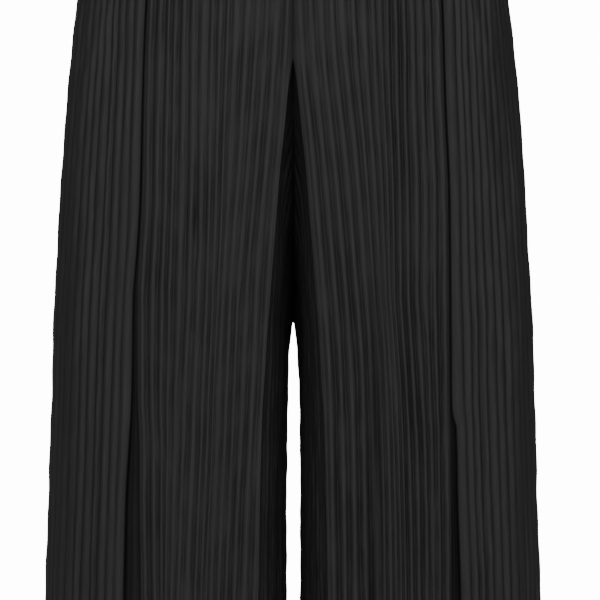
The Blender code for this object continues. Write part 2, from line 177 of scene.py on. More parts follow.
# Between the legs the cloth turns in at a crease, tucks back under it, passes a mouth and meets its
# seam, above the crotch at the middle and below it beside the gap. Each pair is one bend of that line.
Inner = namedtuple("Inner", "level crease_x under_x under_y turn_x turn_y mouth_x mouth_y seam_y")
FRONT_INNER = (
    Inner(FRONT_APEX_LEVEL, SEAM_X, SEAM_X, -117.0, SEAM_X, -117.0, SEAM_X, -117.0, -117.0),
    Inner(262, 2.10, 3.40, -109.0, 2.60, -105.0, 1.20, -104.0, -103.5),
    Inner(275, 3.90, 5.60, -106.0, 4.20, -99.0, 2.00, -97.0, -96.0),
    Inner(310, 7.50, 9.80, -104.0, 7.20, -89.0, 3.40, -85.0, -83.0),
    Inner(360, 12.8, 15.4, -103.0, 10.8, -73.0, 4.40, -66.0, -62.0),
    Inner(410, 16.8, 19.2, -102.0, 12.6, -64.0, 4.80, -48.0, -40.0),
    Inner(440, 19.2, 21.4, -102.0, 13.4, -60.0, 5.40, -34.0, -12.0),
    Inner(467, 21.2, 23.2, -102.0, 14.4, -60.0, 6.40, -26.0, 2.0),
    Inner(490, 22.8, 24.6, -101.0, 15.8, -60.0, 7.40, -20.0, 14.0),
    Inner(CROTCH_LEVEL, 24.5, 26.2, -101.0, 17.0, -60.0, 8.60, -16.0, INSEAM_Y),
    Inner(545, 26.7, 28.0, -100.0, 18.2, -60.0, 9.40, -16.0, INSEAM_Y),
    Inner(600, 30.1, 31.2, -99.0, 20.0, -60.0, 10.0, -16.0, INSEAM_Y),
    Inner(785, 34.1, 35.2, -98.0, 22.4, -60.0, 10.8, -16.0, INSEAM_Y),
    Inner(HEM_LEVEL, 37.0, 38.2, -97.0, 24.0, -60.0, 11.0, -16.0, INSEAM_Y),
)

# Half the gap between the legs at the inseams. It starts as a rounded arch.
Gap = namedtuple("Gap", "level half_width")
GAP = (
    Gap(CROTCH_LEVEL, SEAM_X),
    Gap(509, 1.2),
    Gap(511, 1.9),
    Gap(520, 3.2),
    Gap(529, 4.35),
    Gap(544, 5.7),
    Gap(559, 6.5),
    Gap(584, 7.1),
    Gap(634, 7.8),
    Gap(684, 8.1),
    Gap(HEM_LEVEL, 8.2),
)

# The knife pleat: where its fold lies, how far it laps back under the side part, how deep the
# underlay sits, and how far from the fold the lip lies where the centre part comes forward again.
Tuck = namedtuple("Tuck", "level fold_x lap depth lip")
LEFT_TUCK = (
    Tuck(BAND_LEVEL, 100.0, 16.0, 4.6, 4.5),
    Tuck(110, 137.0, 18.0, 4.6, 4.5),
    Tuck(192, 146.0, 19.0, 4.6, 4.5),
    Tuck(289, 149.5, 19.0, 4.8, 4.5),
    Tuck(387, 151.8, 18.0, 5.4, 4.8),
    Tuck(436, 154.6, 16.0, 5.8, 5.4),
    Tuck(485, 158.2, 15.0, 6.4, 6.8),
    Tuck(583, 159.8, 14.0, 7.6, 8.5),
    Tuck(622, 162.0, 13.0, 8.8, 12.5),
    Tuck(681, 165.6, 11.0, 10.2, 16.5),
    Tuck(778, 167.8, 10.0, 11.6, 20.0),
    Tuck(HEM_LEVEL, 171.5, 9.0, 13.0, 27.0),
)
RIGHT_TUCK = (
    Tuck(BAND_LEVEL, 102.0, 16.0, 4.6, 4.5),
    Tuck(110, 140.0, 18.0, 4.6, 4.5),
    Tuck(192, 148.5, 19.0, 4.6, 4.5),
    Tuck(289, 151.4, 19.0, 4.8, 4.5),
    Tuck(387, 155.4, 19.0, 4.8, 4.5),
    Tuck(560, 156.8, 18.0, 5.0, 4.5),
    Tuck(596, 157.3, 17.0, 5.6, 4.6),
    Tuck(606, 161.2, 14.0, 7.8, 8.2),
    Tuck(681, 163.1, 13.0, 9.4, 9.0),
    Tuck(778, 166.1, 13.0, 10.4, 12.0),
    Tuck(HEM_LEVEL, 170.0, 12.0, 11.4, 16.0),
)
# The room between its layers, and the run over which the cloth comes up at the lip.
LAYER_CLEARANCE = 0.6
LIP_RISE = 1.0
# The side part's pleats follow the fold's line averaged over these steps up and down, and only the
# nearest follow its jogs, by this power of their share of the way. Beside the fold a strip is flat.
STEADY_SHIFTS = np.linspace(-120.0, 120.0, 13)
JOG_POWER = 16
FLAT_STRIP = 3.0
TUCK_FADE = 12.0
# An open knife pleat's underlay rises by this share of its depth on its way to the lip, not at all
# where the lip stands out as far as the first measure and in full at the second. It ripples faintly.
UNDERLAY_RISE = 0.5
LIP_CLOSED = 4.0
LIP_OPEN = 12.0
RIPPLES = 5
RIPPLE_SHARE = 0.09
LIP_FADE = 2.5
# Where the knife pleat's section is cut: angles round its two bends, shares along its flat runs.
FIRST_BEND = np.radians([[30.0, 60.0, 90.0, 120.0, 150.0, 180.0]])
SECOND_BEND = np.radians([[60.0, 120.0, 180.0]])
LAP_CUTS = np.array([[0.4, 0.8, 1.0]])
UNDER_CUTS = np.array([[0.7, 0.35]])
FLOOR_CUTS = np.array([[0.0, 0.2, 0.4, 0.6, 0.8, 1.0]])
LIP_CUTS = np.array([[0.3, 0.65]])

# Soft folds: the level where each starts and ends, its distance from the centre at both, its half
# width, and how far the cloth sinks there. A minus depth is a ridge.
Fold = namedtuple("Fold", "top bottom x_top x_bottom half_width depth")
# A fold swells over this share of its length and dies just past its end. A shallow counter fold lies
# on both sides of it: its share of the depth, and how many times wider it is.
FOLD_SWELL = 0.4
FOLD_END = 1.12
COUNTER_SHARE = 0.35
COUNTER_WIDTH = 2.3
FRONT_LEFT_FOLDS = (
    Fold(30, 300, 52, 60, 26, -2.0),
    Fold(200, 380, 74, 90, 18, -1.6),
    Fold(376, 448, 94.0, 94.0, 1.6, 3.2),
    Fold(230, 520, 122, 128, 14, -1.4),
    Fold(430, 930, 60, 74, 16, 1.6),
    Fold(560, 985, 104, 118, 18, -2.0),
    Fold(480, 985, 196, 206, 14, 2.0),
)
FRONT_RIGHT_FOLDS = (
    Fold(30, 280, 40, 46, 24, -1.8),
    Fold(120, 460, 96, 112, 16, 1.6),
    Fold(400, 985, 84, 73, 8, 4.2),
    Fold(470, 985, 112, 122, 13, -2.2),
    Fold(560, 985, 54, 58, 12, -1.6),
    Fold(150, 420, 196, 208, 10, 2.2),
    Fold(420, 985, 200, 214, 15, -1.0),
)
# Where the cloth is drawn smooth, so that the fine pleats fade: level, distance from the centre,
# half length, half width, the share of the relief that is lost and how much painted shade darkens it.
Smooth = namedtuple("Smooth", "level x half_length half_width loss shade")
FRONT_LEFT_SMOOTH = (
    Smooth(285, 86, 45, 18, 0.60, 0.2),
    Smooth(195, 30, 50, 26, 0.45, 0.0),
    Smooth(640, 112, 160, 12, 0.30, 0.4),
    Smooth(600, 222, 320, 12, 0.50, 0.6),
)
FRONT_RIGHT_SMOOTH = (
    Smooth(205, 30, 45, 26, 0.45, 0.0),
    Smooth(610, 82, 230, 7, 0.60, 1.9),
    Smooth(240, 212, 90, 14, 0.80, 0.5),
    Smooth(600, 228, 320, 10, 0.60, 0.6),
)

# How far the pleats beside the crease have swung out from the middle, level by level.
Lead = namedtuple("Lead", "level shift")
LEFT_LEAD = (
    Lead(BAND_LEVEL, 0.0),
    Lead(150, 0.0),
    Lead(194, 0.8),
    Lead(250, 3.2),
    Lead(281, 5.2),
    Lead(456, 18.4),
    Lead(514, 21.2),
    Lead(572, 24.0),
    Lead(747, 32.0),
    Lead(HEM_LEVEL, 41.0),
)
RIGHT_LEAD = (
    Lead(BAND_LEVEL, 0.0),
    Lead(150, 0.0),
    Lead(194, 1.2),
    Lead(250, 4.2),
    Lead(281, 7.0),
    Lead(330, 12.0),
    Lead(456, 22.6),
    Lead(514, 27.0),
    Lead(572, 30.2),
    Lead(631, 31.8),
    Lead(747, 33.8),
    Lead(HEM_LEVEL, 37.0),
)
# Between two shares of the centre part's width the pleats run together, so that some die out there:
# one pair down to the level where the merge shifts, one below it.
Merge = namedtuple("Merge", "upper_start upper_end lower_start lower_end")
LEFT_MERGE = Merge(0.38, 0.84, 0.05, 0.38)
RIGHT_MERGE = Merge(0.25, 0.76, 0.00, 0.26)
MERGE_SHIFT_LEVEL = 485.0
# Merging pleats keep at least this share of their distance from the crease, counted up to this
# reach, and lose relief faster than they narrow.
CREASE_SPACING = 0.15
CREASE_REACH = 12.0
NARROW_LOSS = 1.4

# Fine pleats: their relief, more at the band and the hem by these shares that die away over these
# lengths, and where one's section is cut, in shares of its width, closer together by the groove.
PLEAT_RELIEF = 1.32
BAND_GAIN = 0.35
BAND_GAIN_REACH = 60.0
HEM_GAIN = 0.30
HEM_GAIN_REACH = 70.0
PLEAT_CUTS = np.array([0.0, 0.09, 0.22, 0.36, 0.5, 0.64, 0.78, 0.91])
PLEAT_FULLNESS = 1.15
PLEATS_FRONT_INNER = 16
LAST_SIDE_WIDTH = 0.84
LAST_CENTRE_WIDTH = 1.25
# How uneven they are: the spread and limits of widths, crests' places and relief, how far edges and
# relief drift down the cloth, and the lengths of that drift's waves.
WIDTH_SPREAD = 0.11
WIDTH_LIMITS = (0.62, 1.5)
EDGE_DRIFT = 0.06
EDGE_WAVES = (520.0, 210.0)
CREST_SPREAD = 0.05
CREST_LIMITS = (0.32, 0.68)
RELIEF_SPREAD = 0.22
RELIEF_LIMITS = (0.15, 2.0)
RELIEF_DRIFT = 0.6
RELIEF_WAVES = (300.0, 120.0, 48.0)
# The front's centre pleats grow deeper by the panel's growth from this level on, over this length.
GROWTH_LEVEL = 400.0
GROWTH_LENGTH = 160.0
# Tones are painted light and shade, in shares of a full crest's painted highlight, and a minus one is
# as dark as a groove's painted shade. A fold gives this much painted shade for each millimetre that it
# sinks, and painted light where it rises; the others are a painted highlight on the crease, painted
# light in the crotch fold's hollow top, painted shade on an underlay, lighter in stripes, and painted
# shade beside the side seams and inseams, as far as their reach.
FOLD_TONE = 0.4
CREASE_TONE = 1.0
CREASE_TONE_REACH = 4.0
CREASE_TONE_LENGTH = 20.0
TOP_TONE = 0.35
TOP_TONE_LENGTH = 160.0
UNDERLAY_TONE = -1.7
UNDERLAY_SHADE_SWING = 1.1
SIDE_TONE = -2.6
SIDE_REACH = 10.0
INSEAM_TONE = -3.2
INSEAM_REACH = 2.0
# Gathers: relief, the lengths over which they rise and die away, how they sway, and a second wave's
# share of their height and number.
GATHER_RELIEF = 2.4
GATHER_RISE = 14.0
GATHER_FADE = 42.0
GATHER_SWAY = 0.5
GATHER_SWAY_LENGTH = 37.0
SECOND_HEIGHT = 0.6
SECOND_COUNT = 0.43
GATHERS_PER_FRONT = 11
# Seams pull the cloth in, a little more at each stitch, and soft folds die out beside them. The
# centre seam's dip ends over this length, from this far above the apex.
SEAM_DIP = 1.1
SEAM_DIP_WIDTH = 1.7
SEAM_END_LENGTH = 22.0
SEAM_END_ABOVE = 26.0
STITCH_PULL = 0.25
STITCH_PULL_LENGTH = 1.9
FOLD_FREE_SIDE = 0.05
FOLD_FREE_CENTRE = 0.06
# The relief inside the fold between the legs: its share of the room to the seam plane, the clearance
# there, how far from the crease and below the apex it is full, and its crests' share of the painted
# light and shade.
INNER_ROOM = 0.7
INNER_CLEARANCE = 0.3
INNER_RISE = 4.0
INNER_RISE_LENGTH = 220.0
INNER_CREST_TONE = 0.5
# Hem: how much is turned in, the double wall, the line of stitches and how they and the edge pull in.
HEM_TURN = 12.0
HEM_WALL = 2.1
HEM_STITCH_LEVEL = HEM_LEVEL - HEM_TURN + 3.0
HEM_STITCH_DIP = 0.35
HEM_STITCH_REACH = 1.6
HEM_EDGE_DIP = 0.5
# Rows down a panel: steps above and below the apex, close ones under it and, upwards, at the hem.
ROWS_ABOVE_APEX = 30
ROWS_BELOW_APEX = 80
CLOSE_DROPS = np.array([0.8, 2.0, 3.6, 5.8])
HEM_RISES = np.array([HEM_TURN + 1.0, HEM_TURN, HEM_TURN - 1.5, HEM_TURN - 3.0, 5.0, 2.0, 0.6, 0.0])
ROOM_OVER_HEM = 6.0
ARC_POINTS = 241
CORNER_CUTS = 4
WIDTH_PROBES = 400
TINY = 1e-9


def smooth(levels, values, at):
    """A monotone cubic through a table's points, so no width overshoots between two rows."""
    levels = np.asarray(levels, dtype=float)
    values = np.asarray(values, dtype=float)
    step = np.diff(levels)
    rise = np.diff(values) / step
    slope = np.zeros_like(values)
    before = rise[:-1]
    after = rise[1:]
    same_way = before * after > 0
    heavy = 2 * step[1:] + step[:-1]
    light_share = step[1:] + 2 * step[:-1]
    safe_before = np.where(same_way, before, 1.0)
    safe_after = np.where(same_way, after, 1.0)
    blend = (heavy + light_share) / (heavy / safe_before + light_share / safe_after)
    slope[1:-1] = np.where(same_way, blend, 0.0)
    slope[0] = rise[0]
    slope[-1] = rise[-1]
    at = np.clip(at, levels[0], levels[-1])
    row = np.clip(np.searchsorted(levels, at, side="right") - 1, 0, len(step) - 1)
    span = step[row]
    u = (at - levels[row]) / span
    start = (1 + 2 * u) * (1 - u) ** 2 * values[row] + u * (1 - u) ** 2 * span * slope[row]
    end = u * u * (3 - 2 * u) * values[row + 1] + u * u * (u - 1) * span * slope[row + 1]
    return start + end


def read(table, name, at):
    """One column of a table at these levels."""
    return smooth([row.level for row in table], [getattr(row, name) for row in table], at)


def ease(share):
    """0 to 1 with a soft start and end: three squares less two cubes."""
    share = np.clip(share, 0.0, 1.0)
    return share * share * (3 - 2 * share)


def depth_of(levels, facing):
    """The outline's depth in front, where facing is below 0, or behind."""
    return read(OUTLINE, "front_depth" if facing < 0 else "back_depth", levels)


def bell(distance, reach):
    """1 at no distance and falling away on both sides: e to minus the square of distance over reach."""
    return np.exp(-(distance / reach) ** 2)


def main_arc(levels, facing, inner_table):
    """Section from the side seam to the centre seam or crease: a quarter of a squared-off ellipse."""
    turn = np.linspace(np.pi / 2, 0.0, ARC_POINTS)[None, :]
    half_width = read(OUTLINE, "half_width", levels)[:, None]
    depth = depth_of(levels, facing)[:, None]
    power = 2.0 / read(OUTLINE, "squareness", levels)[:, None]
    crease = read(inner_table, "crease_x", levels)[:, None]
    x = crease + (half_width - crease) * np.abs(np.sin(turn)) ** power
    y = facing * (depth * np.abs(np.cos(turn)) ** power + SEAM_X)
    return x, y


def cut_corners(line):
    """Each span gives its points at one and three quarters, and both ends stay."""
    near = 0.75 * line[:, :-1] + 0.25 * line[:, 1:]
    far = 0.25 * line[:, :-1] + 0.75 * line[:, 1:]
    inside = np.stack([near, far], axis=2).reshape(len(line), -1)
    return np.concatenate([line[:, :1], inside[:, 1:-1], line[:, -1:]], axis=1)


def inner_path(levels, facing, inner_table):
    """Section from the crease to the seam between the legs, its corners cut round."""
    depth = depth_of(levels, facing)
    x = [read(inner_table, name, levels) for name in ("crease_x", "under_x", "turn_x", "mouth_x")]
    y = [read(inner_table, name, levels) for name in ("under_y", "turn_y", "mouth_y", "seam_y")]
    x = np.stack(x + [read(GAP, "half_width", levels)], axis=1)
    y = np.stack([facing * (depth + SEAM_X)] + y, axis=1)
    y[:, -1] += facing * SEAM_X
    for _ in range(CORNER_CUTS):
        x = cut_corners(x)
        y = cut_corners(y)
    return x, y


def run_of(x, y):
    """Length walked along each row's line, up to each of its points."""
    steps = np.hypot(np.diff(x, axis=1), np.diff(y, axis=1))
    return np.concatenate([np.zeros((len(x), 1)), np.cumsum(steps, axis=1)], axis=1)


def walk(x, y, distance):
    """Points at the given distances along each row's line, with the line's direction there."""
    run = run_of(x, y)
    index = (run[:, :, None] < distance[:, None, :]).sum(axis=1) - 1
    index = np.clip(index, 0, x.shape[1] - 2)
    start = np.take_along_axis(run, index, axis=1)
    span = np.maximum(np.take_along_axis(run, index + 1, axis=1) - start, TINY)
    share = np.clip((distance - start) / span, 0.0, 1.0)
    slope_x = np.gradient(x, axis=1)
    slope_y = np.gradient(y, axis=1)
    here = [np.take_along_axis(line, index, axis=1) for line in (x, y, slope_x, slope_y)]
    there = [np.take_along_axis(line, index + 1, axis=1) for line in (x, y, slope_x, slope_y)]
    at_x, at_y, along_x, along_y = (a + (b - a) * share for a, b in zip(here, there))
    length = np.maximum(np.hypot(along_x, along_y), TINY)
    return at_x, at_y, along_x / length, along_y / length


def wander(chance, count, levels, lengths):
    """Slow drift down the cloth: the mean of sines of these lengths, each pleat with its own phases."""
    phase = chance.uniform(0, 2 * np.pi, (len(lengths), 1, count))
    lengths = np.array(lengths)[:, None, None]
    return np.sin(2 * np.pi * levels[None, :, None] / lengths + phase).mean(axis=0)


def pleat_run(chance, count, levels, first_width=1.0, last_width=1.0):
    """Columns across a run of fine pleats, as shares of the run's width, and the crest at each.

    The pleats have slightly uneven widths, and those at both ends may be wider or narrower. Each
    one's section is a power of a half sine wave, and its crest leans to one side. The crest runs
    from minus the pleat's own strength in its groove to plus that strength on top; it sets the relief,
    and also the colour's painted shade in the groove and painted highlight on top.
    """
    widths = np.clip(1 + WIDTH_SPREAD * chance.standard_normal(count), *WIDTH_LIMITS)
    widths = widths * np.interp(np.arange(count) / count, (0.0, 0.4, 1.0), (first_width, 1.0, last_width))
    edges = np.concatenate([[0.0], np.cumsum(widths)]) / widths.sum()
    drift = EDGE_DRIFT / count * wander(chance, count + 1, levels, EDGE_WAVES)
    drift[:, [0, -1]] = 0.0
    edges = edges[None, :] + drift
    share = edges[:, :-1, None] + np.diff(edges, axis=1)[:, :, None] * PLEAT_CUTS[None, None, :]
    share = np.concatenate([share.reshape(len(levels), -1), edges[:, -1:]], axis=1)
    middle = np.clip(0.5 + CREST_SPREAD * chance.standard_normal(count), *CREST_LIMITS)
    lean = np.log(0.5) / np.log(middle)
    bend = PLEAT_CUTS[None, :] ** lean[:, None]
    height = 2 * np.abs(np.sin(np.pi * bend)) ** PLEAT_FULLNESS - 1
    strength = 1 + RELIEF_SPREAD * chance.standard_normal(count)[None, :]
    strength = strength + RELIEF_DRIFT * wander(chance, count, levels, RELIEF_WAVES)
    strength = np.clip(strength, *RELIEF_LIMITS)
    crest = (strength[:, :, None] * height[None, :, :]).reshape(len(levels), -1)
    return share, np.concatenate([crest, -strength[:, -1:]], axis=1)


def pleat_depth(levels):
    """Relief of the fine pleats: deeper where the band gathers them and where the hem lets them flare."""
    top = BAND_GAIN * np.exp(-(levels - BAND_LEVEL) / BAND_GAIN_REACH)
    hem = HEM_GAIN * np.exp(-(HEM_LEVEL - levels) / HEM_GAIN_REACH)
    return PLEAT_RELIEF * (1 + top + hem)


def fold_depth(folds, x, levels):
    """Sum of the soft folds: a bell across each, less a wider bell, that swells and dies along it."""
    total = np.zeros_like(x)
    level = levels[:, None]
    for fold in folds:
        along = (level - fold.top) / (fold.bottom - fold.top)
        line = fold.x_top + (fold.x_bottom - fold.x_top) * along
        swell = ease(along / FOLD_SWELL) * ease((FOLD_END - along) / FOLD_SWELL)
        across = (np.abs(x) - line) / fold.half_width
        trough = bell(across, 1.0) - COUNTER_SHARE * bell(across, COUNTER_WIDTH)
        total += fold.depth * trough * np.where(along > 0, swell, 0.0)
    return total


def gather_depth(chance, share, levels, count):
    """Gathers under the elastic: two uneven waves round the waist that die away down the hip."""
    level = levels[:, None]
    sway = GATHER_SWAY * np.sin(level / GATHER_SWAY_LENGTH)
    wave = np.sin(2 * np.pi * count * share + chance.uniform(0, 6) + sway)
    second = np.sin(2 * np.pi * SECOND_COUNT * count * share + chance.uniform(0, 6) - sway)
    wave += SECOND_HEIGHT * second
    swell = ease((level - BAND_LEVEL) / GATHER_RISE) * np.exp(-(level - BAND_LEVEL) / GATHER_FADE)
    return GATHER_RELIEF * wave * swell


def smooth_share(spots, x, levels):
    """The fine relief's share that stays, and the painted shade: a bell across and along each smooth spot."""
    stays = np.ones_like(x)
    shade = np.zeros_like(x)
    for spot in spots:
        along = ((levels[:, None] - spot.level) / spot.half_length) ** 2
        across = ((np.abs(x) - spot.x) / spot.half_width) ** 2
        near = np.exp(-along - across)
        stays *= 1 - spot.loss * near
        shade += spot.shade * near
    return stays, shade


def front_columns(levels, arc_length, arc, front, chance):
    """Distance along the section, depth under it, fine relief, turn of the wall and crest.

    The side part ends in the fold, a half turn. The cloth laps back under, turns again, runs forward
    as the underlay and comes forward at the lip, from which the centre part goes on. Its pleats lean
    out with the lead, merge where the table says, and keep their distance from the crease.
    """
    run = run_of(*arc)
    fold_x, lap, under, lip = (read(front.tuck, name, levels)[:, None] for name in Tuck._fields[1:])
    fold = np.array([np.interp(-near, -line, walked) for near, line, walked in zip(fold_x, arc[0], run)])
    ones = np.ones_like(fold)
    relief = front.extra * pleat_depth(levels)[:, None]

    steady = sum(np.interp(levels + shift, levels, fold[:, 0]) for shift in STEADY_SHIFTS)
    steady = (steady / len(STEADY_SHIFTS))[:, None]
    share, side_crest = pleat_run(chance, front.side_pleats, levels, 1.0, LAST_SIDE_WIDTH)
    side = steady * share + (fold - steady) * share ** JOG_POWER
    side_relief = -relief * side_crest
    hold = ease((side - (fold - lap - TUCK_FADE)) / TUCK_FADE)
    side_relief = side_relief * (1 - hold) + hold * (0.5 * side_relief - 0.5 * relief)
    side_relief *= 1 - ease((side - (fold - FLAT_STRIP)) / FLAT_STRIP)

    middle = 2 * LAYER_WALL + LAYER_CLEARANCE
    radius = middle / 2
    back_radius = (under - middle) / 2
    floor = lip - LIP_RISE
    opened = ease((lip - LIP_CLOSED) / (LIP_OPEN - LIP_CLOSED))
    floor_depth = under * (1 - UNDERLAY_RISE * FLOOR_CUTS * opened)
    ripple = RIPPLE_SHARE * floor * np.sin(np.pi * RIPPLES * FLOOR_CUTS)
    # One row for each stretch: distance along the section, depth under it and turn of the wall.
    stretches = (
        (fold + radius * np.sin(FIRST_BEND), radius - radius * np.cos(FIRST_BEND), FIRST_BEND),
        (fold - lap * LAP_CUTS, middle, np.pi),
        (
            fold - lap - back_radius * np.sin(SECOND_BEND),
            middle + back_radius - back_radius * np.cos(SECOND_BEND),
            np.pi - SECOND_BEND,
        ),
        (fold - lap * UNDER_CUTS, under, 0.0),
        (fold + floor * FLOOR_CUTS, floor_depth - ripple, 0.0),
        (fold + floor + (lip - floor) * LIP_CUTS, floor_depth[:, -1:] * (1 - ease(LIP_CUTS)), 0.0),
    )
    bends = np.concatenate([place for place, _, _ in stretches], axis=1)
    bend_depth = np.concatenate([np.broadcast_to(sunk, place.shape) for place, sunk, _ in stretches], axis=1)
    bend_turn = np.concatenate([np.broadcast_to(angle, place.shape) for place, _, angle in stretches], axis=1)

    reach = np.maximum(read(FRONT_INNER, "crease_x", levels), 0.0)[:, None]
    upper_shift = read(front.lead, "shift", np.minimum(levels, MERGE_SHIFT_LEVEL))[:, None]
    lower_shift = read(front.lead, "shift", levels)[:, None] - upper_shift
    share, centre_crest = pleat_run(
        chance, front.centre_pleats, levels, front.tuck_width, LAST_CENTRE_WIDTH
    )
    merge = front.merge
    upper = ease((share - merge.upper_start) / (merge.upper_end - merge.upper_start))
    lower = ease((share - merge.lower_start) / (merge.lower_end - merge.lower_start))
    whole = arc_length - fold - lip + reach
    left_over = whole * (1 - share) + upper_shift * upper + lower_shift * lower - reach
    least = CREASE_SPACING * np.minimum(whole * (1 - share), CREASE_REACH)
    left_over = 0.5 * (left_over + np.hypot(left_over, 2 * least))
    centre = arc_length - left_over
    centre[:, -1:] = arc_length
    pitch = np.diff(centre, axis=1) / (np.diff(share, axis=1) * whole)
    pitch = np.concatenate([pitch, pitch[:, -1:]], axis=1)
    kept = np.clip(NARROW_LOSS * pitch - (NARROW_LOSS - 1), 0.0, 1.0)
    centre_relief = -relief * centre_crest * kept
    at_crease = bell(arc_length - centre, SEAM_DIP_WIDTH)
    centre_relief = centre_relief * (1 - at_crease) * ease((centre - fold - lip) / LIP_FADE)
    centre_relief *= 1 + front.growth * ease((levels[:, None] - GROWTH_LEVEL) / GROWTH_LENGTH)

    # Painted shade under the knife pleat's fold and on its underlay, lighter on every second cut of the
    # underlay's ripples.
    underlay_shade = UNDERLAY_TONE - UNDERLAY_SHADE_SWING * np.cos(np.pi * np.arange(FLOOR_CUTS.size))
    hidden = bends.shape[1] - FLOOR_CUTS.size - LIP_CUTS.size
    bend_crest = np.concatenate([np.full(hidden, UNDERLAY_TONE), underlay_shade, np.zeros(LIP_CUTS.size)])
    bend_crest = bend_crest[None, :] * ones
    # A painted highlight along the crease's edge, below the apex.
    on_crease = bell(arc_length - centre, CREASE_TONE_REACH)
    on_crease *= ease((levels[:, None] - FRONT_APEX_LEVEL) / CREASE_TONE_LENGTH)
    centre_crest = centre_crest * (1 - on_crease) + CREASE_TONE * on_crease

    side_part = (side, side * 0, side_relief, side * 0, side_crest)
    bend_part = (bends, bend_depth, bends * 0, bend_turn, bend_crest)
    centre_part = (centre, centre * 0, centre_relief, centre * 0, centre_crest)
    return tuple(np.concatenate(parts, axis=1) for parts in zip(side_part, bend_part, centre_part))


def wall_points(x, y, along_x, along_y, drop, facing, depth, turn, wall):
    """Points of the wall's outer and inner face, as x, y, level.

    The outer one is the section's point sunk by depth. The inner one is a wall's thickness from it,
    along the outward direction turned by turn.
    """
    out_x = along_y * facing
    out_y = -along_x * facing
    wall_x = np.cos(turn) * out_x + np.sin(turn) * along_x
    wall_y = np.cos(turn) * out_y + np.sin(turn) * along_y
    outer = np.stack([x - out_x * depth, y - out_y * depth, drop], axis=2)
    return outer, outer - np.stack([wall_x * wall, wall_y * wall, 0 * drop], axis=2)


def panel_levels(apex_level):
    """Rows down the panel: even steps above and below the apex, close ones under it and at the hem."""
    above = np.linspace(BAND_LEVEL, apex_level, ROWS_ABOVE_APEX + 1)
    below = np.linspace(apex_level, HEM_LEVEL - HEM_TURN - ROOM_OVER_HEM, ROWS_BELOW_APEX + 1)[1:]
    return np.concatenate([[TOP_LEVEL], above, apex_level + CLOSE_DROPS, below, HEM_LEVEL - HEM_RISES])


def hem_wall(levels):
    """The cloth is double below the hem's turned-in edge."""
    return WALL + (HEM_WALL - WALL) * (levels > HEM_LEVEL - HEM_TURN - 0.5)


def hem_dip(levels):
    """The line of stitches pulls the cloth in a little, and the folded edge is rounded."""
    stitched = HEM_STITCH_DIP * bell(levels - HEM_STITCH_LEVEL, HEM_STITCH_REACH)
    return stitched + HEM_EDGE_DIP * (levels > HEM_LEVEL - 0.3)


def grid_quads(numbers):
    """Four neighbours of a grid of point numbers make each face."""
    a = numbers[:-1, :-1].ravel()
    b = numbers[:-1, 1:].ravel()
    c = numbers[1:, 1:].ravel()
    d = numbers[1:, :-1].ravel()
    return np.stack([a, b, c, d], axis=1)


def rim_quads(quads, inner_start):
    """Closes the wall: an edge that only one outer quad has is joined to its inner twin."""
    edges = np.concatenate([quads[:, [i, (i + 1) % 4]] for i in range(4)])
    keys = np.sort(edges, axis=1)
    _, first, count = np.unique(keys, axis=0, return_index=True, return_counts=True)
    rim = edges[first[count == 1]]
    return np.stack([rim[:, 1], rim[:, 0], rim[:, 0] + inner_start, rim[:, 1] + inner_start], axis=1)


def mesh_object(name, points, quads, material, cloth_map=None, crest=None):
    """Puts whole arrays of points (metres) and quads into a mesh, with its cloth map and crests."""
    mesh = bpy.data.meshes.new(name)
    mesh.vertices.add(len(points))
    mesh.vertices.foreach_set("co", points.astype(np.float32).ravel())
    mesh.loops.add(quads.size)
    mesh.loops.foreach_set("vertex_index", quads.astype(np.int32).ravel())
    mesh.polygons.add(len(quads))
    mesh.polygons.foreach_set("loop_start", np.arange(0, quads.size, 4, dtype=np.int32))
    mesh.update(calc_edges=True)
    mesh.validate()
    if cloth_map is not None:
        corners = np.zeros(len(mesh.loops), dtype=np.int32)
        mesh.loops.foreach_get("vertex_index", corners)
        layer = mesh.uv_layers.new(name="cloth")
        layer.data.foreach_set("uv", cloth_map[corners].astype(np.float32).ravel())
    if crest is not None:
        mesh.attributes.new("crest", "FLOAT", "POINT").data.foreach_set("value", crest.astype(np.float32))
    mesh.shade_smooth()
    mesh.materials.append(material)
    made = bpy.data.objects.new(name, mesh)
    bpy.context.scene.collection.objects.link(made)
    return made


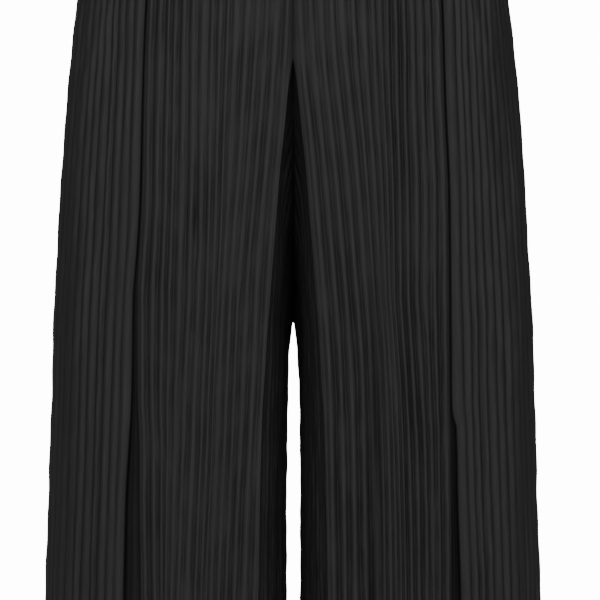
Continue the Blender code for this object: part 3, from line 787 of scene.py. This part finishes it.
def inner_grid(levels, facing, inner_table, pleats, inner_tone, apex_level, chance):
    """Points between the crease and the crotch seam or inseam, as x, y, level, with the crest, which
    also carries painted light and shade.

    The first row is the crotch seam. A column keeps its distance from the crease down to the hem and
    starts where the section is just that wide.
    """
    probe = np.linspace(apex_level, CROTCH_LEVEL, WIDTH_PROBES)
    width = run_of(*inner_path(probe, facing, inner_table))[:, -1]
    full_width = width[-1]
    share, crest = pleat_run(chance, pleats, levels)
    column = full_width * share
    top = np.interp(full_width * share[:1], width, probe)
    drop = top + ((levels - apex_level) / (HEM_LEVEL - apex_level))[:, None] * (HEM_LEVEL - top)
    flat_drop = drop.ravel()
    path = inner_path(flat_drop, facing, inner_table)
    length = run_of(*path)[:, -1]
    scale = np.where(flat_drop > CROTCH_LEVEL, length / full_width, 1.0)
    distance = np.minimum(column.ravel() * scale, length)[:, None]
    x, y, along_x, along_y = (part.reshape(drop.shape) for part in walk(*path, distance))
    x[0, 1:] = SEAM_X
    room = INNER_ROOM * np.maximum(x - INNER_CLEARANCE, 0.0)
    relief = np.minimum(pleat_depth(drop), room) * ease(column / INNER_RISE)
    relief *= ease((drop - apex_level) / INNER_RISE_LENGTH)
    depth = -relief * crest + hem_dip(drop)
    outer, inner = wall_points(x, y, along_x, along_y, drop, facing, depth, 0 * depth, hem_wall(drop))
    # The colour: painted shade over the inner faces, with the crests' painted light and shade and a painted
    # shadow along the inseam, and painted light in the crotch fold's hollow top instead.
    at_seam = bell(length[:, None] - distance, INSEAM_REACH).reshape(drop.shape)
    hollow = 1 - ease((drop - apex_level) / TOP_TONE_LENGTH)
    painted_light_and_shade = inner_tone * (1 - hollow) + TOP_TONE * hollow
    tone = (INNER_CREST_TONE * crest + INSEAM_TONE * at_seam) * (1 - hollow) + painted_light_and_shade
    return outer, inner, column, tone


def main_grid(levels, facing, inner_table, apex_level, columns, folds, spots, gathers, chance):
    """Points from the side seam to the centre seam or crease, as x, y, level, with the crest, which
    also carries painted light and shade.

    Each is the section's point sunk by the fine relief, the seams, the soft folds, the gathers and
    the hem. Also gives the cloth's width walked along the row at the apex.
    """
    arc = main_arc(levels, facing, inner_table)
    arc_length = run_of(*arc)[:, -1:]
    distance, depth, fine, turn, crest = columns(levels, arc_length, arc, chance)
    x, y, along_x, along_y = walk(*arc, distance)
    stays, shade = smooth_share(spots, x, levels)
    depth = depth + fine * stays
    share = distance / arc_length
    centre_seam = bell(arc_length - distance, SEAM_DIP_WIDTH)
    centre_seam *= 1 - ease((levels[:, None] - apex_level + SEAM_END_ABOVE) / SEAM_END_LENGTH)
    side_seam = bell(distance, SEAM_DIP_WIDTH)
    tension = 1 + STITCH_PULL * np.sin(levels[:, None] / STITCH_PULL_LENGTH)
    depth = depth + SEAM_DIP * tension * (centre_seam + side_seam)
    soft = fold_depth(folds, x, levels)
    # The colour: painted shade in smooth spots, in sunk folds and beside the side seam, and painted light on
    # raised folds.
    crest = crest * stays - shade - FOLD_TONE * soft + SIDE_TONE * bell(distance, SIDE_REACH)
    soft = soft + gather_depth(chance, share, levels, gathers)
    depth = depth + soft * ease((1 - share) / FOLD_FREE_CENTRE) * ease(share / FOLD_FREE_SIDE)
    depth = depth + hem_dip(levels)[:, None]
    below = levels > apex_level
    inner_x, inner_y = inner_path(levels, facing, inner_table)
    into_x = inner_x[:, 2] - inner_x[:, 0]
    into_y = inner_y[:, 2] - inner_y[:, 0]
    into = np.hypot(into_x, into_y) + TINY
    crease_x = along_x[:, -1] + into_x / into
    crease_y = along_y[:, -1] + into_y / into
    crease = np.maximum(np.hypot(crease_x, crease_y), TINY)
    along_x[:, -1] = np.where(below, crease_x / crease, -1.0)
    along_y[:, -1] = np.where(below, crease_y / crease, 0.0)
    along_x[:, 0] = 0.0
    along_y[:, 0] = facing
    drop = np.broadcast_to(levels[:, None], x.shape)
    outer, inner = wall_points(x, y, along_x, along_y, drop, facing, depth, turn, hem_wall(drop))
    apex_row = np.searchsorted(levels, apex_level)
    path = np.hypot(np.diff(outer[apex_row, :, 0]), np.diff(outer[apex_row, :, 1]))
    cloth_width = np.concatenate([[0.0], np.cumsum(path)])
    return outer, inner, cloth_width, crest


def line_at(outer, inner, level):
    """Where each column crosses a level: points on the outer face, and directions out of the cloth."""
    drop = outer[:, :, 2]
    column = np.arange(drop.shape[1])
    row = np.clip((drop < level).sum(axis=0) - 1, 0, len(drop) - 2)
    share = ((level - drop[row, column]) / (drop[row + 1, column] - drop[row, column]))[:, None]
    face = outer[row, column] + (outer[row + 1, column] - outer[row, column]) * share
    back = inner[row, column] + (inner[row + 1, column] - inner[row, column]) * share
    out = face - back
    return face, out / np.linalg.norm(out, axis=1, keepdims=True)


def sewn_panel(
    name, hand, facing, inner_table, apex_level, columns, folds, spots, gathers, inner_pleats, inner_tone,
    seed, material,
):
    """One quarter of the trousers, its outer and inner face joined round the rim. Hand mirrors it in x.

    Also gives its area, its flat width and length, and the line of its hem stitches. The width is
    the main part's at the apex with the inner leg's at the crotch.
    """
    chance = np.random.default_rng(seed)
    levels = panel_levels(apex_level)
    outer_main, inner_main, width, crest_main = main_grid(
        levels, facing, inner_table, apex_level, columns, folds, spots, gathers, chance
    )
    lower = levels >= apex_level
    outer_leg, inner_leg, column, crest_leg = inner_grid(
        levels[lower], facing, inner_table, inner_pleats, inner_tone, apex_level, chance
    )
    rows, cols = outer_main.shape[:2]
    leg_rows, leg_cols = outer_leg.shape[:2]
    main_numbers = np.arange(rows * cols).reshape(rows, cols)
    leg_numbers = rows * cols + np.arange(leg_rows * (leg_cols - 1)).reshape(leg_rows, leg_cols - 1)
    leg_numbers = np.concatenate([main_numbers[lower][:, -1:], leg_numbers], axis=1)

    outer = np.concatenate([outer_main.reshape(-1, 3), outer_leg[:, 1:].reshape(-1, 3)])
    inner = np.concatenate([inner_main.reshape(-1, 3), inner_leg[:, 1:].reshape(-1, 3)])
    points = np.concatenate([outer, inner])
    points[:, 0] = np.maximum(points[:, 0], SEAM_X) * hand
    points[:, :2] *= MM
    points[:, 2] = BAND_TOP - points[:, 2] * MM
    main_line, main_out = line_at(outer_main, inner_main, HEM_STITCH_LEVEL)
    leg_line, leg_out = line_at(outer_leg[:, 1:], inner_leg[:, 1:], HEM_STITCH_LEVEL)
    hem_line = np.concatenate([main_line, leg_line]) * (hand * MM, MM, -MM) + (0.0, 0.0, BAND_TOP)
    hem_out = np.concatenate([main_out, leg_out]) * (hand, 1.0, -1.0)

    across = np.concatenate(
        [np.broadcast_to(width, (rows, cols)).ravel(), (width[-1] + column[:, 1:]).ravel()]
    )
    cloth_map = np.tile(np.stack([across, outer[:, 2]], axis=1) * MM, (2, 1))
    crest = np.tile(np.concatenate([crest_main.ravel(), crest_leg[:, 1:].ravel()]), 2)

    quads = np.concatenate([grid_quads(main_numbers), grid_quads(leg_numbers)])
    inner_start = len(outer)
    shell = np.concatenate([quads, quads[:, ::-1] + inner_start, rim_quads(quads, inner_start)])
    if hand * facing > 0:
        shell = shell[:, ::-1]
    made = mesh_object(name, points, shell, material, cloth_map, crest)
    corners = points[quads]
    area = 0.5 * np.linalg.norm(
        np.cross(corners[:, 2] - corners[:, 0], corners[:, 3] - corners[:, 1]), axis=1
    ).sum()
    flat_width = (width[-1] + column[-1, -1]) * MM
    flat_length = (HEM_LEVEL - TOP_LEVEL + HEM_TURN) * MM
    return made, area, (flat_width, flat_length), (hem_line, hem_out)


def ranged(tree, source, low, high, new_low, new_high):
    """The source's range from low to high, stretched to new_low to new_high."""
    span = {"From Min": low, "From Max": high, "To Min": new_low, "To Max": new_high}
    made = node(tree, "ShaderNodeMapRange", span)
    tree.links.new(source, made.inputs["Value"])
    return made.outputs[0]


def relief_on(tree, height, strength, distance, under=None):
    """A bump from this height, laid over another bump if one is given."""
    made = node(tree, "ShaderNodeBump", {"Strength": strength, "Distance": distance})
    tree.links.new(height, made.inputs["Height"])
    if under is not None:
        tree.links.new(under, made.inputs["Normal"])
    return made.outputs[0]


# The crest attribute's range, and the colour's shares at its two ends: painted shade in the grooves and a
# painted highlight on the crests.
CREST_RANGE = (-3.0, 1.3)
GROOVE_SHARE = 0.36
CREST_SHARE = 1.22


def pleated_cloth(name, colour, roughness, weave_relief):
    """Charcoal polyester taffeta.

    The colour goes from a painted shade to a painted highlight with the crest attribute, which carries
    the painted light and shade of grooves, crests, folds, crease and seams, times a noise drawn out
    lengthwise, which is also a faint crease in relief. The weave is two crossed waves multiplied, and a
    broad noise makes patches a little glossier.
    """
    made, tree, surface = shaded(
        name,
        {
            "Metallic": 0.0,
            "Specular IOR Level": 0.42,
            "Sheen Weight": 0.05,
            "Sheen Roughness": 0.45,
            "Sheen Tint": (0.55, 0.58, 0.58, 1.0),
        },
    )
    link = tree.links.new
    cloth = node(tree, "ShaderNodeUVMap", uv_map="cloth")
    crest = node(tree, "ShaderNodeAttribute", attribute_name="crest")
    streak_place = node(tree, "ShaderNodeMapping", {"Scale": (430.0, 16.0, 1.0)})
    link(cloth.outputs["UV"], streak_place.inputs["Vector"])
    streak = node(tree, "ShaderNodeTexNoise", {"Scale": 1.0, "Detail": 3.0})
    link(streak_place.outputs[0], streak.inputs["Vector"])
    patch = node(tree, "ShaderNodeTexNoise", {"Scale": 22.0, "Detail": 2.0})
    link(cloth.outputs["UV"], patch.inputs["Vector"])

    # The crest's colour ramp: painted shade at its low end, a painted highlight at its high end.
    dark = [channel * GROOVE_SHARE for channel in colour]
    light_tone = [channel * CREST_SHARE for channel in colour]
    tone = node(tree, "ShaderNodeMix", {"A": (*dark, 1.0), "B": (*light_tone, 1.0)}, data_type="RGBA")
    link(ranged(tree, crest.outputs["Fac"], *CREST_RANGE, 0.0, 1.0), tone.inputs["Factor"])
    mottle = node(tree, "ShaderNodeMix", {"Factor": 1.0}, data_type="RGBA", blend_type="MULTIPLY")
    link(tone.outputs["Result"], mottle.inputs["A"])
    link(ranged(tree, streak.outputs["Fac"], 0.3, 0.7, 0.86, 1.14), mottle.inputs["B"])
    link(mottle.outputs["Result"], surface.inputs["Base Color"])
    gloss = ranged(tree, patch.outputs["Fac"], 0.3, 0.7, roughness + 0.02, roughness - 0.02)
    link(gloss, surface.inputs["Roughness"])

    weave = node(tree, "ShaderNodeMath", operation="MULTIPLY")
    spacing = {"Scale": 900.0, "Distortion": 0.6}
    for socket, way in enumerate("XY"):
        threads = node(tree, "ShaderNodeTexWave", spacing, wave_type="BANDS", bands_direction=way)
        link(cloth.outputs["UV"], threads.inputs["Vector"])
        link(threads.outputs["Fac"], weave.inputs[socket])
    thread_bump = relief_on(tree, weave.outputs[0], weave_relief, 0.0001)
    crease_bump = relief_on(tree, streak.outputs["Fac"], 0.5, 0.0006, thread_bump)
    link(crease_bump, surface.inputs["Normal"])
    return made


CHARCOAL = (0.0305, 0.0330, 0.0306)
CLOTH_ROUGHNESS = 0.58
cloth_material = pleated_cloth("charcoal_pleated_cloth", CHARCOAL, CLOTH_ROUGHNESS, 0.35)

# Each front: its side of the middle, its pleats on both sides of the knife pleat, the first centre
# one's width, how much deeper they are and grow, its inner leg's painted shade, its seed and its tables.
Front = namedtuple(
    "Front",
    "name hand side_pleats centre_pleats tuck_width extra growth inner_tone seed tuck lead merge folds spots",
)
FRONTS = (
    Front(
        "front_left", -1, 13, 16, 1.1, 1.15, 0.18, -0.3, 11,
        LEFT_TUCK, LEFT_LEAD, LEFT_MERGE, FRONT_LEFT_FOLDS, FRONT_LEFT_SMOOTH,
    ),
    Front(
        "front_right", 1, 14, 16, 1.05, 1.27, 0.65, -1.3, 23,
        RIGHT_TUCK, RIGHT_LEAD, RIGHT_MERGE, FRONT_RIGHT_FOLDS, FRONT_RIGHT_SMOOTH,
    ),
)
hem_lines = []
for front in FRONTS:
    def tucked(levels, arc_length, arc, chance, front=front):
        return front_columns(levels, arc_length, arc, front, chance)

    piece, area, flat, hem = sewn_panel(
        front.name + "_cloth", front.hand, -1, FRONT_INNER, FRONT_APEX_LEVEL, tucked, front.folds,
        front.spots, GATHERS_PER_FRONT, PLEATS_FRONT_INNER, front.inner_tone, front.seed, cloth_material,
    )
    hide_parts(front.name)
    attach(piece, "root")
    hem_lines.append(hem)

# Back panels. Each is cut in one with its crotch extension and inner leg like the front, a little
# fuller over the seat and with no knife pleat. The side seams and inseams join them to the fronts.
BACK_APEX_LEVEL = 300.0
PLEATS_BACK = 32
PLEATS_BACK_INNER = 11
# The back's inner leg is darkened by this painted shade.
BACK_INNER_PAINTED_SHADE = -0.55
GATHERS_PER_BACK = 12
BACK_INNER = (
    Inner(BACK_APEX_LEVEL, SEAM_X, SEAM_X, 122.0, SEAM_X, 122.0, SEAM_X, 122.0, 122.0),
    Inner(340, 4.00, 5.20, 114.0, 3.00, 111.0, 1.50, 109.0, 108.0),
    Inner(385, 9.00, 10.4, 112.0, 7.20, 98.0, 3.00, 93.0, 91.0),
    Inner(430, 14.0, 15.2, 110.0, 10.0, 90.0, 4.00, 78.0, 72.0),
    Inner(470, 18.0, 19.0, 109.0, 12.0, 86.0, 5.00, 70.0, 52.0),
    Inner(495, 20.5, 21.5, 108.0, 14.0, 84.0, 6.00, 68.0, 37.0),
    Inner(CROTCH_LEVEL, 22.0, 23.0, 107.0, 15.0, 84.0, 7.90, 66.0, INSEAM_Y),
    Inner(545, 24.5, 25.5, 106.0, 16.0, 82.0, 8.80, 64.0, INSEAM_Y),
    Inner(600, 28.0, 29.0, 105.0, 18.0, 80.0, 9.40, 62.0, INSEAM_Y),
    Inner(785, 33.0, 34.0, 103.0, 20.0, 78.0, 10.0, 60.0, INSEAM_Y),
    Inner(HEM_LEVEL, 36.0, 37.0, 100.0, 22.0, 78.0, 10.2, 60.0, INSEAM_Y),
)
BACK_LEFT_FOLDS = (
    Fold(60, 340, 60, 92, 22, -3.0),
    Fold(240, 620, 88, 112, 11, 3.4),
    Fold(480, 985, 150, 168, 16, 3.2),
    Fold(420, 985, 60, 72, 18, -2.6),
    Fold(180, 520, 170, 190, 16, -2.0),
)
BACK_RIGHT_FOLDS = (
    Fold(50, 320, 70, 98, 24, -3.0),
    Fold(300, 760, 120, 132, 12, 3.0),
    Fold(520, 985, 66, 88, 14, 3.8),
    Fold(470, 985, 104, 120, 16, -2.6),
    Fold(160, 600, 178, 200, 15, 2.4),
)
BACK_SMOOTH = (
    Smooth(190, 90, 70, 30, 0.45, 0.0),
    Smooth(420, 70, 80, 16, 0.50, 0.5),
    Smooth(700, 128, 200, 10, 0.60, 1.2),
    Smooth(600, 226, 320, 12, 0.50, 0.5),
)


def back_columns(levels, arc_length, arc, chance):
    """The same measures as a front's columns, for one unbroken run of fine pleats."""
    share, crest = pleat_run(chance, PLEATS_BACK, levels)
    distance = arc_length * share
    fine = -pleat_depth(levels)[:, None] * crest
    fine *= 1 - bell(arc_length - distance, SEAM_DIP_WIDTH)
    return distance, distance * 0, fine, distance * 0, crest


Back = namedtuple("Back", "name hand folds seed")
BACKS = (
    Back("back_left", -1, BACK_LEFT_FOLDS, 37),
    Back("back_right", 1, BACK_RIGHT_FOLDS, 41),
)
for back in BACKS:
    piece, area, flat, hem = sewn_panel(
        back.name + "_cloth", back.hand, 1, BACK_INNER, BACK_APEX_LEVEL, back_columns, back.folds,
        BACK_SMOOTH, GATHERS_PER_BACK, PLEATS_BACK_INNER, BACK_INNER_PAINTED_SHADE, back.seed, cloth_material,
    )
    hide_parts(back.name)
    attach(piece, "root")
    hem_lines.append(hem)

# Waistband. A strip of the same cloth is folded over a flat elastic and sewn through in three rows,
# which draw it into small even puckers. The panels' gathered tops are caught in its lower edge.
BAND_HALF_WIDTH = 151.0
BAND_FRONT_DEPTH = 103.0
BAND_BACK_DEPTH = 107.0
BAND_HALF_WALL = 1.5
BAND_PUCKERS = 118
BAND_TURNS = 944
BAND_SECTION = 76
PUCKER_RELIEF = 0.95
# Powers that square off the section's faces and edges, and the share of the band's height it fills.
BAND_SIDE_POWER = 0.3
BAND_EDGE_POWER = 0.72
BAND_FIT = 0.995
# Puckers vary in strength and wander sideways, as waves with these heights and numbers in a turn.
PUCKER_STRENGTH = 0.75
PUCKER_SPREAD = 0.35
PUCKER_WANDER = ((0.55, 7), (0.3, 17))
# Each row of stitches pinches the puckers near it and pulls a narrow line in. The top edge ruffles.
STITCH_ROWS = (9.5, 19.0, 28.5)
PINCH = 0.65
PINCH_REACH = 1.5
STITCH_DIP = 0.6
STITCH_DIP_REACH = 0.9
EDGE_RUFFLE = 0.45
# Colour against the panels', and thicker in look: duller, with a stronger weave.
BAND_SHADE = 0.92
BAND_ROUGHNESS = 0.64
BAND_WEAVE = 0.5


def band_outline(turn):
    """Centre line of the elastic: half an ellipse for the front and a deeper half for the back."""
    depth = np.where(np.cos(turn) > 0, BAND_FRONT_DEPTH, BAND_BACK_DEPTH) - BAND_HALF_WALL
    x = (BAND_HALF_WIDTH - BAND_HALF_WALL) * np.sin(turn)
    y = -depth * np.cos(turn)
    out_x = np.sin(turn) * depth
    out_y = -np.cos(turn) * (BAND_HALF_WIDTH - BAND_HALF_WALL)
    length = np.hypot(out_x, out_y)
    return x, y, out_x / length, out_y / length


def band_swell(turn, level, side, chance):
    """How far the band stands out: puckers as a power of a half sine, pinched at each row of stitches."""
    uneven = chance.uniform(0, 6.28, 3)
    (slow, slow_count), (quick, quick_count) = PUCKER_WANDER
    phase = turn / (2 * np.pi) * BAND_PUCKERS + slow * np.sin(slow_count * turn + uneven[0])
    phase = phase + quick * np.sin(quick_count * turn + uneven[1] + level / 11.0)
    pucker = 2 * np.abs(np.sin(np.pi * phase)) ** PLEAT_FULLNESS - 1
    wave = np.sin(23 * turn + uneven[2]) * np.sin(5 * turn + level / 14.0)
    strength = PUCKER_STRENGTH + PUCKER_SPREAD * wave
    pinch = sum(bell(level - row, PINCH_REACH) for row in STITCH_ROWS)
    dip = STITCH_DIP * sum(bell(level - row, STITCH_DIP_REACH) for row in STITCH_ROWS)
    return PUCKER_RELIEF * strength * pucker * (1 - PINCH * pinch) * side - dip


def band_face(turn, section):
    """Points, in millimetres, of a flat oval section carried round the waist, and how far it swells."""
    outward = np.sign(np.cos(section)) * np.abs(np.cos(section)) ** BAND_SIDE_POWER
    upward = np.sign(np.sin(section)) * np.abs(np.sin(section)) ** BAND_EDGE_POWER
    level = BAND_LEVEL / 2 * (1 - BAND_FIT * upward)
    flat = np.abs(np.cos(section)) ** 0.4
    swell = band_swell(turn, level, flat, np.random.default_rng(5)) * flat
    reach = BAND_HALF_WALL * outward + swell * np.sign(outward)
    ruffle = EDGE_RUFFLE * np.sin(0.5 * turn * BAND_PUCKERS) ** 2 * np.maximum(upward, 0) ** 8
    x, y, out_x, out_y = band_outline(turn)
    points = np.stack([x + out_x * reach, y + out_y * reach, level - ruffle + 0 * reach], axis=2)
    return points, swell


turn = np.linspace(0, 2 * np.pi, BAND_TURNS, endpoint=False)[:, None]
round_section = np.linspace(0, 2 * np.pi, BAND_SECTION, endpoint=False)[None, :]
face, swell = band_face(turn, round_section)
band_level = face[:, :, 2]
band_points = face.reshape(-1, 3) * (MM, MM, -MM) + (0.0, 0.0, BAND_TOP)
numbers = np.arange(len(band_points)).reshape(BAND_TURNS, BAND_SECTION)
numbers = np.concatenate([numbers, numbers[:1]])
numbers = np.concatenate([numbers, numbers[:, :1]], axis=1)
band_length = 2 * np.pi * np.sqrt((BAND_HALF_WIDTH ** 2 + BAND_BACK_DEPTH ** 2) / 2)
band_map = np.stack(
    [np.broadcast_to(turn / (2 * np.pi) * band_length, band_level.shape), band_level], axis=2
).reshape(-1, 2) * MM
band_colour = [BAND_SHADE * channel for channel in CHARCOAL]
band_material = pleated_cloth("charcoal_band_cloth", band_colour, BAND_ROUGHNESS, BAND_WEAVE)
# The band's colour takes a painted highlight on its puckers and painted shade between them and along the rows
# of stitches.
waistband = mesh_object(
    "waistband_casing", band_points, grid_quads(numbers)[:, ::-1], band_material, band_map,
    (swell / PUCKER_RELIEF).ravel(),
)
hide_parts("waistband")
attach(waistband, "root")

# Stitching. Lockstitches of black polyester thread: one row holds up the turned hem of each panel, and
# three rows through the waistband hold its elastic flat, seen outside and inside.
STITCH_LENGTH = 2.5
STITCH_GAP = 0.8
THREAD_RADIUS = 0.21
# Along one stitch: shares of its length, its thickness there and how far it stands off the cloth.
STITCH_SHARES = np.array([0.0, 0.18, 0.5, 0.82, 1.0])
STITCH_SWELL = np.array([0.35, 0.9, 1.0, 0.9, 0.35])
STITCH_LIFT = np.array([-0.5, 0.35, 0.7, 0.35, -0.5])
THREAD_SIDES = 4
THREAD_COLOUR = (0.020, 0.021, 0.021, 1.0)
THREAD_ROUGHNESS = 0.42


def stitches(path, out):
    """Points and quads of short spindles laid end to end along a path, each half sunk in the cloth."""
    run = np.concatenate([[0.0], np.cumsum(np.linalg.norm(np.diff(path, axis=0), axis=1))])
    count = int(run[-1] / ((STITCH_LENGTH + STITCH_GAP) * MM))
    start = (np.arange(count) + 0.5) * run[-1] / count - STITCH_LENGTH / 2 * MM
    at = start[:, None] + STITCH_LENGTH * MM * STITCH_SHARES[None, :]
    middle = np.stack([np.interp(at, run, path[:, axis]) for axis in range(3)], axis=2)
    off = np.stack([np.interp(at, run, out[:, axis]) for axis in range(3)], axis=2)
    along = middle[:, -1:] - middle[:, :1]
    along = along / np.linalg.norm(along, axis=2, keepdims=True)
    side = np.cross(np.broadcast_to(along, off.shape), off)
    side = side / np.linalg.norm(side, axis=2, keepdims=True)
    off = np.cross(side, np.broadcast_to(along, off.shape))
    middle = middle + off * (STITCH_LIFT * THREAD_RADIUS * MM)[None, :, None]
    angle = (np.arange(THREAD_SIDES) + 0.5) * 2 * np.pi / THREAD_SIDES
    spoke = np.cos(angle)[:, None] * side[:, :, None, :] + np.sin(angle)[:, None] * off[:, :, None, :]
    ring = middle[:, :, None, :] + spoke * (STITCH_SWELL * THREAD_RADIUS * MM)[None, :, None, None]
    rings = len(STITCH_SHARES)
    numbers = np.arange(rings * THREAD_SIDES).reshape(rings, THREAD_SIDES)
    sides = grid_quads(np.concatenate([numbers, numbers[:, :1]], axis=1))
    one = np.concatenate([sides[:, ::-1], numbers[:1], numbers[-1:, ::-1]])
    quads = one[None, :, :] + rings * THREAD_SIDES * np.arange(count)[:, None, None]
    return ring.reshape(-1, 3), quads.reshape(-1, 4)


def joined(parts):
    """Puts several lots of points and quads into one."""
    starts = np.cumsum([0] + [len(points) for points, _ in parts[:-1]])
    quads = np.concatenate([quads + start for (_, quads), start in zip(parts, starts)])
    return np.concatenate([points for points, _ in parts]), quads


def thread_material(name):
    """Black polyester thread with a fine diagonal twist and a soft shine."""
    made, tree, surface = shaded(name, {"Base Color": THREAD_COLOUR, "Roughness": THREAD_ROUGHNESS})
    place = node(tree, "ShaderNodeTexCoord")
    twist = node(
        tree, "ShaderNodeTexWave", {"Scale": 1400.0}, wave_type="BANDS", bands_direction="DIAGONAL"
    )
    tree.links.new(place.outputs["Object"], twist.inputs["Vector"])
    tree.links.new(relief_on(tree, twist.outputs["Fac"], 0.5, 0.00005), surface.inputs["Normal"])
    return made


thread = thread_material("black_thread")
hem_stitching = mesh_object("hem_stitching", *joined([stitches(*hem) for hem in hem_lines]), thread)
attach(hem_stitching, "root")

band_rows = []
row_turn = np.linspace(0, 2 * np.pi, 6 * BAND_PUCKERS + 1)[:, None]
for row in STITCH_ROWS:
    rise = (1 - 2 * row / BAND_LEVEL) / BAND_FIT
    lean = np.sign(rise) * np.arcsin(np.abs(rise) ** (1 / BAND_EDGE_POWER))
    for section, outward in ((lean, 1.0), (np.pi - lean, -1.0)):
        line = band_face(row_turn, np.array([[section]]))[0][:, 0] * (MM, MM, -MM) + (0.0, 0.0, BAND_TOP)
        _, _, out_x, out_y = band_outline(row_turn)
        out = outward * np.concatenate([out_x, out_y, 0 * out_x], axis=1)
        band_rows.append(stitches(line, out))
band_stitching = mesh_object("waistband_stitching", *joined(band_rows), thread)
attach(band_stitching, "root")
